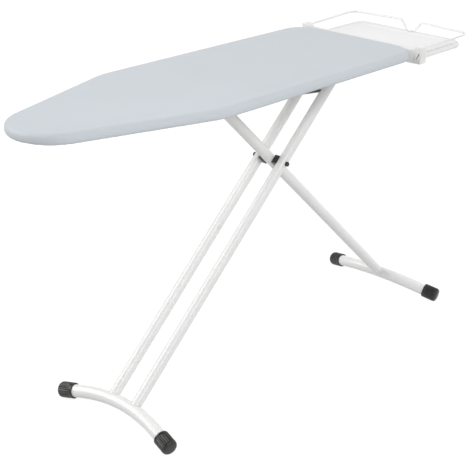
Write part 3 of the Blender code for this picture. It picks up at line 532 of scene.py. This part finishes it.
def cover_profile(edge, top, bottom, inset):
    """The cloth's side in section, as (outward, z) pairs, from its top to its underside."""
    out = edge - inset
    high = top - inset
    radius = COVER_ROUNDING
    upper = quarter(out - radius, high - radius, radius, radius, 90, 0, UPPER_ARC_STEPS)
    radius = COVER_LOWER_ROUNDING
    lower = quarter(out - radius, bottom + radius, radius, radius, 0, -90, LOWER_ARC_STEPS)
    return [(out - COVER_FLAT_REACH, high + COVER_CROWN)] + upper + lower


def make_cover(outline, edge):
    """The fitted cover: its top and sides come from the simulated form, opened underneath."""
    low, high = box_of("ironing_cover")
    profile = cover_profile(edge, high.z, low.z, COVER_START_INSET)
    mesh = mesh_from_rings("cover_shape", [outline.ring(out, z) for out, z in profile])
    shape = bpy.data.objects.new("cover_shape", mesh)
    bpy.context.scene.collection.objects.link(shape)
    form = make_swollen_form("ironing_cloth", shape, low.z + COVER_HELD_HEIGHT)
    open_underside(form)
    subdivide(form)
    keep_outside(form, shape)
    bpy.data.objects.remove(shape, do_unlink=True)
    dress(form, MATERIALS["cover_cloth"], "board")
    thick = form.modifiers.new("thickness", "SOLIDIFY")
    thick.thickness = CLOTH_THICKNESS
    thick.offset = -1.0
    apply_modifiers(form)
    form.data.shade_smooth()
    return form


def open_underside(form):
    """Takes away the form's underside, and lets its top ripple a little."""
    bm = bmesh.new()
    bm.from_mesh(form.data)
    under = [face for face in bm.faces if face.normal.z < UNDERSIDE_NORMAL]
    bmesh.ops.delete(bm, geom=under, context="FACES")
    for vertex in bm.verts:
        along = vertex.co * RIPPLE_SCALE
        ripple = noise.noise(Vector((along.x, along.y * RIPPLE_ASPECT, RIPPLE_SLICE)))
        vertex.co.z += RIPPLE_HEIGHT * ripple
    bm.to_mesh(form.data)
    bm.free()


def gather_wave(index, outline):
    """From -1 to 1 along the hem: gathers of uneven width, as elastic pulls them."""
    along = index / len(outline.points) * outline.length
    wander = 0.9 * noise.noise(Vector((along * 14.0, 0.5, 1.5)))
    return math.sin(2 * math.pi * along / GATHER_PITCH + 2.2 * wander) * (0.75 + 0.4 * wander)


def make_gathers(outline, edge):
    """The cover's underside, gathered towards the hem, and the hem's rolled channel."""
    low, _ = box_of("ironing_cover")
    upper = []
    under = []
    for step in range(GATHER_STEPS + 1):
        share = step / GATHER_STEPS
        out = edge - GATHER_START - (HEM_REACH - GATHER_START) * share
        depth = GATHER_DEPTH * share**GATHER_DEEPENING
        base = low.z + GATHER_HEIGHT + GATHER_RISE * share

        def height(index, depth=depth, base=base):
            return base - depth * 0.5 * (1 - gather_wave(index, outline))

        ring = outline.ring(out, height)
        under.append(ring)
        upper.append([point + Vector((0, 0, CLOTH_THICKNESS)) for point in ring])
    mesh = mesh_from_rings("cover_gathers", under + upper[::-1], looped=True)
    gathers = link("cover_gathers", mesh, MATERIALS["cover_cloth"], "board", 0)
    rings = []
    for side in range(HEM_SIDES):
        angle = 2 * math.pi * side / HEM_SIDES
        across = HEM_RADIUS * math.cos(angle)
        rise = HEM_RADIUS * math.sin(angle)

        def height(index, rise=rise):
            return low.z - HEM_DROP + rise + HEM_WAVE * gather_wave(index, outline)

        rings.append(outline.ring(edge - HEM_REACH + across, height))
    mesh = mesh_from_rings("cover_hem", rings, looped=True)
    return gathers, link("cover_hem", mesh, MATERIALS["cover_cloth"], "board", 0)


def make_pad(outline, edge):
    """The foam pad between the deck and the cloth, rounded about the same line as the cloth."""
    low, _ = box_of("foam_pad")
    top = box_of("ironing_cover")[1].z
    centre_out = edge - COVER_START_INSET - COVER_ROUNDING
    centre_z = top - COVER_START_INSET - COVER_ROUNDING
    radius = COVER_ROUNDING - CLOTH_THICKNESS - PAD_CLEARANCE
    lowest = math.degrees(math.asin((low.z - centre_z) / radius))
    profile = quarter(centre_out, centre_z, radius, radius, lowest, 90, PAD_ARC_STEPS)
    mesh = mesh_from_rings("pad", [outline.ring(out, z) for out, z in profile])
    pad = link("pad", mesh, MATERIALS["foam"], "board")
    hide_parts("foam_pad")
    return pad


def make_soft_goods():
    """The pad, and the cover over it with its gathers and hem."""
    deck = Outline("steel_deck", OUTLINE_POINTS)
    edge = box_of("ironing_cover")[1].y - box_of("steel_deck")[1].y
    pad = make_pad(deck, edge)
    cover = make_cover(deck, edge)
    gathers, hem = make_gathers(deck, edge)
    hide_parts("ironing_cover")


# --------------------------------------------------------------------- deck


def make_pierced_deck():
    """The sheet-steel deck with its steam holes."""
    low, high = box_of("steel_deck")
    outline = Outline("steel_deck", DECK_OUTLINE_POINTS)
    mesh = mesh_from_rings("pierced_deck", [outline.ring(0.0, low.z), outline.ring(0.0, high.z)])
    deck = link("pierced_deck", mesh, MATERIALS["deck_paint"], "board")
    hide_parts("steel_deck")
    limits = list(zip(outline.points, outline.normals))
    bm = bmesh.new()
    row = 0
    y = low.y
    while y < high.y:
        x = low.x + (HOLE_PITCH / 2 if row % 2 else 0.0)
        while x < high.x:
            spot = Vector((x, y))
            if all((point - spot).dot(normal) > HOLE_MARGIN for point, normal in limits):
                punch(bm, spot, low.z - PUNCH_OVERREACH, high.z + PUNCH_OVERREACH)
            x += HOLE_PITCH
        y += HOLE_PITCH * math.sqrt(0.75)
        row += 1
    punches = bpy.data.meshes.new("deck_punches")
    bm.to_mesh(punches)
    bm.free()
    cutter = bpy.data.objects.new("deck_punches", punches)
    bpy.context.scene.collection.objects.link(cutter)
    cut = deck.modifiers.new("holes", "BOOLEAN")
    cut.operation = "DIFFERENCE"
    cut.solver = "EXACT"
    cut.object = cutter
    apply_modifiers(deck)
    bpy.data.objects.remove(cutter, do_unlink=True)
    deck.data.set_sharp_from_angle(angle=math.radians(35))


def punch(bm, spot, low_z, high_z):
    """One round prism."""
    turns = [2 * math.pi * step / HOLE_SIDES for step in range(HOLE_SIDES)]
    rings = []
    for z in (low_z, high_z):
        ring = []
        for turn in turns:
            place = (spot.x + HOLE_RADIUS * math.cos(turn), spot.y + HOLE_RADIUS * math.sin(turn), z)
            ring.append(bm.verts.new(place))
        rings.append(ring)
    bm.faces.new(rings[0][::-1])
    bm.faces.new(rings[1])
    for index in range(HOLE_SIDES):
        following = (index + 1) % HOLE_SIDES
        bm.faces.new((rings[0][index], rings[0][following], rings[1][following], rings[1][index]))


# --------------------------------------------------------------------- feet


def joint_position(name):
    """A joint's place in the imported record."""
    for joint in frame["record"]["behaviour"]["joints"]:
        if joint["name"] == name:
            return Vector(joint["pos_m"])
    raise KeyError(name)


def fluted_cap(node, direction, body):
    """A rubber-like foot cap with flutes round it, a plain collar and a domed end."""
    vertices = [vertex.co for vertex in NODES[node].data.vertices]
    along = [point.dot(direction) for point in vertices]
    start = min(along)
    length = max(along) - start
    mouth = [point for point, reach in zip(vertices, along) if reach < start + CAP_MOUTH_TOLERANCE]
    centre = sum(mouth, Vector()) / len(mouth)
    outer = max((point - centre).length for point in mouth)
    bore = min((point - centre).length for point in mouth)
    turn = direction.to_track_quat("Z", "Y")
    steps = FLUTES * FLUTE_FACETS
    deep = length - CAP_END_WALL
    # From the bore's end round to the outer end: distance from the mouth, radius, share of the flutes
    profile = [
        (deep, CAP_AXIS_RADIUS, 0.0),
        (deep, bore, 0.0),
        (0.0, bore, 0.0),
        (0.0, outer - 0.0012, 0.0),
        (0.0008, outer - 0.0002, 0.0),
        (0.0060, outer, 0.0),
        (0.0072, outer - 0.0004, 0.3),
        (0.0090, outer, 1.0),
        (0.0180, outer, 1.0),
        (0.0270, outer, 1.0),
        (length - 0.0080, outer, 1.0),
        (length - 0.0050, outer - 0.0006, 0.8),
        (length - 0.0025, outer - 0.0022, 0.3),
        (length - 0.0008, outer - 0.0045, 0.0),
        (length, outer - 0.0075, 0.0),
        (length + 0.0006, outer * 0.35, 0.0),
        (length + 0.0006, CAP_AXIS_RADIUS, 0.0),
    ]
    rings = []
    for height, radius, fluted in profile:
        ring = []
        for step in range(steps):
            angle = 2 * math.pi * step / steps
            groove = (0.5 - 0.5 * math.cos(FLUTES * angle)) ** 2
            reach = radius - fluted * FLUTE_DEPTH * groove
            point = centre + turn @ Vector((reach * math.cos(angle), reach * math.sin(angle), height))
            ring.append(Vector((point.x, point.y, max(point.z, 0.0))))
        rings.append(ring)
    mesh = mesh_from_rings("fluted_" + node, rings)
    cap = link("fluted_" + node, mesh, MATERIALS["black_plastic"], body, 40)
    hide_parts(node)


def make_foot_caps():
    """The four caps, square to their foot tubes' ends, which bend down and outwards."""
    hinge = joint_position("leg_fold")
    pivot = joint_position("center_hinge")
    down_twin = (pivot - hinge).normalized()
    down_single = Vector((-down_twin.x, 0.0, down_twin.z))
    for leg_end, body, down in (("nose", "twin_leg", down_twin), ("tail", "single_leg", down_single)):
        for side, sign in (("front", -1), ("back", 1)):
            direction = down * math.sin(FOOT_SPLAY) + Vector((0, sign * math.cos(FOOT_SPLAY), 0))
            fluted_cap(f"{leg_end}_foot_cap_{side}", direction.normalized(), body)


# -------------------------------------------------------------- small parts


def rivet(bm, place, radius):
    """A domed rivet head that hangs from a face, pointing down."""
    turn = Vector((0, 0, -1)).to_track_quat("Z", "Y")
    rows = []
    for height, width in RIVET_PROFILE:
        ring = []
        for step in range(RIVET_SIDES):
            angle = 2 * math.pi * step / RIVET_SIDES
            across = radius * width
            rise = radius * RIVET_ASPECT * height
            offset = Vector((across * math.cos(angle), across * math.sin(angle), rise))
            ring.append(bm.verts.new(Vector(place) + turn @ offset))
        rows.append(ring)
    bm.faces.new(rows[0][::-1])
    bm.faces.new(rows[-1])
    for first, second in zip(rows, rows[1:]):
        for index in range(RIVET_SIDES):
            following = (index + 1) % RIVET_SIDES
            bm.faces.new((first[index], first[following], second[following], second[index]))


def make_rivets():
    """Rivet heads where the brackets, the rail and the beam are fastened under the board."""
    bm = bmesh.new()
    rail_low, rail_high = box_of("height_rail")
    for side in ("front", "back"):
        low, high = box_of("hinge_bracket_" + side)
        y = (low.y + high.y) / 2
        for x in (low.x + BRACKET_RIVET_INSET, high.x - BRACKET_RIVET_INSET):
            rivet(bm, (x, y, high.z - FLANGE_THICKNESS), RIVET_RADIUS)
        low, high = box_of("beam_carrier_" + side)
        y = (low.y + high.y) / 2
        for shift in (-CARRIER_RIVET_SPREAD, CARRIER_RIVET_SPREAD):
            place = (low.x + CARRIER_RIVET_INSET, y + shift, rail_high.z - CARRIER_RIVET_DROP)
            rivet(bm, place, RIVET_RADIUS)
    near, far = RAIL_RIVET_INSETS
    for x in (rail_low.x + near, rail_low.x + far, rail_high.x - far, rail_high.x - near):
        rivet(bm, (x, 0.0, rail_high.z - FLANGE_THICKNESS), RIVET_RADIUS)
    low, high = box_of("lever_bracket")
    for y in (low.y + LEVER_RIVET_INSET, high.y - LEVER_RIVET_INSET):
        rivet(bm, ((low.x + high.x) / 2, y, high.z - FLANGE_THICKNESS), LEVER_RIVET_RADIUS)
    mesh = bpy.data.meshes.new("rivets")
    bm.to_mesh(mesh)
    bm.free()
    link("rivets", mesh, MATERIALS["zinc_steel"], "board")


def make_lever_grip():
    """The black handle sleeve, with finger rings, over the CAD grip's own line."""
    points = [vertex.co for vertex in NODES["lever_grip"].data.vertices]
    low_end = min(points, key=lambda point: point.x)
    high_end = max(points, key=lambda point: point.x)
    first = [point for point in points if (point - low_end).length < GRIP_MOUTH_REACH]
    centre = sum(first, Vector()) / len(first)
    last = [point for point in points if (point - high_end).length < GRIP_TIP_REACH]
    axis = (sum(last, Vector()) / len(last) - centre).normalized()
    along = [(point - centre).dot(axis) for point in points]
    start, end = min(along), max(along)
    radial = [(point - centre) - axis * ((point - centre).dot(axis)) for point in points]
    outer = max(vector.length for vector in radial)
    length = end - start
    turn = axis.to_track_quat("Z", "Y")
    # From the bore's end round to the outer end: distance from the mouth, radius
    deep = length - GRIP_END_WALL
    profile = [(deep, GRIP_AXIS_RADIUS), (deep, GRIP_BORE), (0.0, GRIP_BORE), (0.0, outer - 0.001)]
    profile += [(0.001, outer), (0.004, outer)]
    groove = outer - GRIP_RING_DEPTH
    for ring in range(GRIP_RINGS):
        base = GRIP_RINGS_START + ring * (length - GRIP_RINGS_MARGIN) / GRIP_RINGS
        profile += [(base, outer), (base + 0.0015, groove)]
        profile += [(base + 0.0035, groove), (base + 0.005, outer)]
    profile += [(length - 0.006, outer), (length - 0.003, outer - 0.0008)]
    profile += [(length - 0.001, outer - 0.0026), (length, outer - 0.0045)]
    profile += [(length, GRIP_AXIS_RADIUS)]
    origin = centre + axis * start
    rows = []
    for height, radius in profile:
        row = []
        for step in range(GRIP_SIDES):
            angle = 2 * math.pi * step / GRIP_SIDES
            offset = Vector((radius * math.cos(angle), radius * math.sin(angle), height))
            row.append(origin + turn @ offset)
        rows.append(row)
    mesh = mesh_from_rings("ribbed_grip", rows)
    grip = link("ribbed_grip", mesh, MATERIALS["black_plastic"], "lever", 45)
    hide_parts("lever_grip")


def rounded_rectangle(low_x, high_x, half_y, radius, steps):
    """(x, y) points round a rectangle with round corners, which is even about y = 0."""
    points = []
    corners = (
        (high_x - radius, -half_y + radius, -90),
        (high_x - radius, half_y - radius, 0),
        (low_x + radius, half_y - radius, 90),
        (low_x + radius, -half_y + radius, 180),
    )
    for x, y, start in corners:
        for step in range(steps + 1):
            angle = math.radians(start + 90 * step / steps)
            points.append((x + radius * math.cos(angle), y + radius * math.sin(angle)))
    return points


def make_rest_plate():
    """The rest's plate with a shallow pressed panel, and a rolled edge."""
    low, high = box_of("rest_plate")
    half = (high.y - low.y) / 2
    thick = high.z - low.z
    # From the edge in to the panel: inset, corner radius, height
    levels = [
        (0.0, 0.030, high.z - 0.0004),
        (0.0006, 0.0295, high.z),
        (PLATE_MARGIN, 0.016, high.z),
        (PLATE_MARGIN + 0.0015, 0.0150, high.z - 0.25 * PLATE_SINK),
        (PLATE_MARGIN + 0.0035, 0.0135, high.z - 0.75 * PLATE_SINK),
        (PLATE_MARGIN + 0.0055, 0.0120, high.z - PLATE_SINK),
        (PLATE_MARGIN + 0.030, 0.0080, high.z - PLATE_SINK),
    ]
    rings = []
    for inset, radius, z in levels:
        low_x = low.x + inset * PLATE_BOARD_SIDE
        plan = rounded_rectangle(low_x, high.x - inset, half - inset, radius, PLATE_CORNER_STEPS)
        rings.append([Vector((x, y, z)) for x, y in plan])
    under = [[point - Vector((0, 0, thick)) for point in ring] for ring in rings[1:]]
    mesh = mesh_from_rings("pressed_plate", under[::-1] + rings)
    plate = link("pressed_plate", mesh, MATERIALS["plate_paint"], "board", 50)
    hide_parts("rest_plate")


# -------------------------------------------------------------------- stage


def make_camera():
    data = bpy.data.cameras.new("camera")
    data.lens = CAMERA_LENS
    data.sensor_width = SENSOR_WIDTH
    camera = bpy.data.objects.new("camera", data)
    bpy.context.scene.collection.objects.link(camera)
    turn = Matrix.Rotation(CAMERA_HEADING, 3, "Z") @ Matrix.Rotation(math.pi / 2 - CAMERA_DOWN, 3, "X")
    turn = turn @ Matrix.Rotation(CAMERA_ROLL, 3, "Z")
    camera.location = CAMERA_POSITION
    camera.rotation_euler = turn.to_euler()
    bpy.context.scene.camera = camera


def make_area_light(name, target, direction, distance, size, level):
    """A soft box whose light on a white sheet that faces it is level, from 0, black, to 1, white."""
    data = bpy.data.lights.new(name, "AREA")
    data.shape = "RECTANGLE"
    data.size, data.size_y = size
    data.energy = level * (math.pi * distance) ** 2
    light = bpy.data.objects.new(name, data)
    bpy.context.scene.collection.objects.link(light)
    toward = Vector(direction).normalized()
    light.location = target + toward * distance
    light.rotation_euler = (-toward).to_track_quat("-Z", "Y").to_euler()


def make_world(scene):
    """Dim soft light from above, the floor's light from below, and a bright backdrop on one side.

    The lens sees the backdrop's level all round.
    """
    world = bpy.data.worlds.new("studio")
    scene.world = world
    world.use_nodes = True
    tree = world.node_tree
    direction = tree.nodes.new("ShaderNodeTexCoord").outputs["Generated"]

    def fade_along(axis, start, end, low, high):
        facing = tree.nodes.new("ShaderNodeVectorMath")
        facing.operation = "DOT_PRODUCT"
        facing.inputs[1].default_value = axis
        tree.links.new(direction, facing.inputs[0])
        fade = tree.nodes.new("ShaderNodeMapRange")
        fade.interpolation_type = "SMOOTHSTEP"
        tree.links.new(facing.outputs["Value"], fade.inputs["Value"])
        for socket, value in (("From Min", start), ("From Max", end), ("To Min", low), ("To Max", high)):
            if isinstance(value, float):
                fade.inputs[socket].default_value = value
            else:
                tree.links.new(value, fade.inputs[socket])
        return fade.outputs["Result"]

    sky = fade_along(BACKDROP_DIRECTION, *BACKDROP_FADE, SKY_LEVEL, BACKDROP_LEVEL)
    level = fade_along((0.0, 0.0, 1.0), *HORIZON_FADE, GROUND_LEVEL, sky)
    background = tree.nodes["Background"]
    background.inputs["Color"].default_value = (1.0, 1.0, 1.0, 1.0)
    rays = tree.nodes.new("ShaderNodeLightPath")
    seen = tree.nodes.new("ShaderNodeMix")
    tree.links.new(rays.outputs["Is Camera Ray"], seen.inputs["Factor"])
    tree.links.new(level, seen.inputs["A"])
    seen.inputs["B"].default_value = BACKDROP_LEVEL
    tree.links.new(seen.outputs["Result"], background.inputs["Strength"])


def make_stage():
    """The studio: its world, its three soft boxes and a pale floor."""
    scene = bpy.context.scene
    scene.view_settings.view_transform = "Standard"
    make_world(scene)
    target = middle_of("single_tube")
    for name, light in (("key", KEY), ("front", FRONT), ("strip", STRIP)):
        make_area_light(name, target, **light)
    mesh = bpy.data.meshes.new("floor")
    signs = ((-1, -1), (1, -1), (1, 1), (-1, 1))
    corners = [(x * FLOOR_REACH, y * FLOOR_REACH, -FLOOR_DROP) for x, y in signs]
    mesh.from_pydata(corners, [], [(0, 1, 2, 3)])
    floor = bpy.data.objects.new("floor", mesh)
    scene.collection.objects.link(floor)
    shader = Shader("floor", 0.9, Base_Color=FLOOR_GREY, Specular_IOR_Level=0.0)
    shader.surface.inputs["Emission Color"].default_value = (1.0, 1.0, 1.0, 1.0)
    shader.surface.inputs["Emission Strength"].default_value = FLOOR_GLOW
    mesh.materials.append(shader.material)
    floor.visible_diffuse = False


make_camera()
make_stage()
paint_cad_nodes()
make_soft_goods()
make_pierced_deck()
make_foot_caps()
make_rivets()
make_lever_grip()
make_rest_plate()
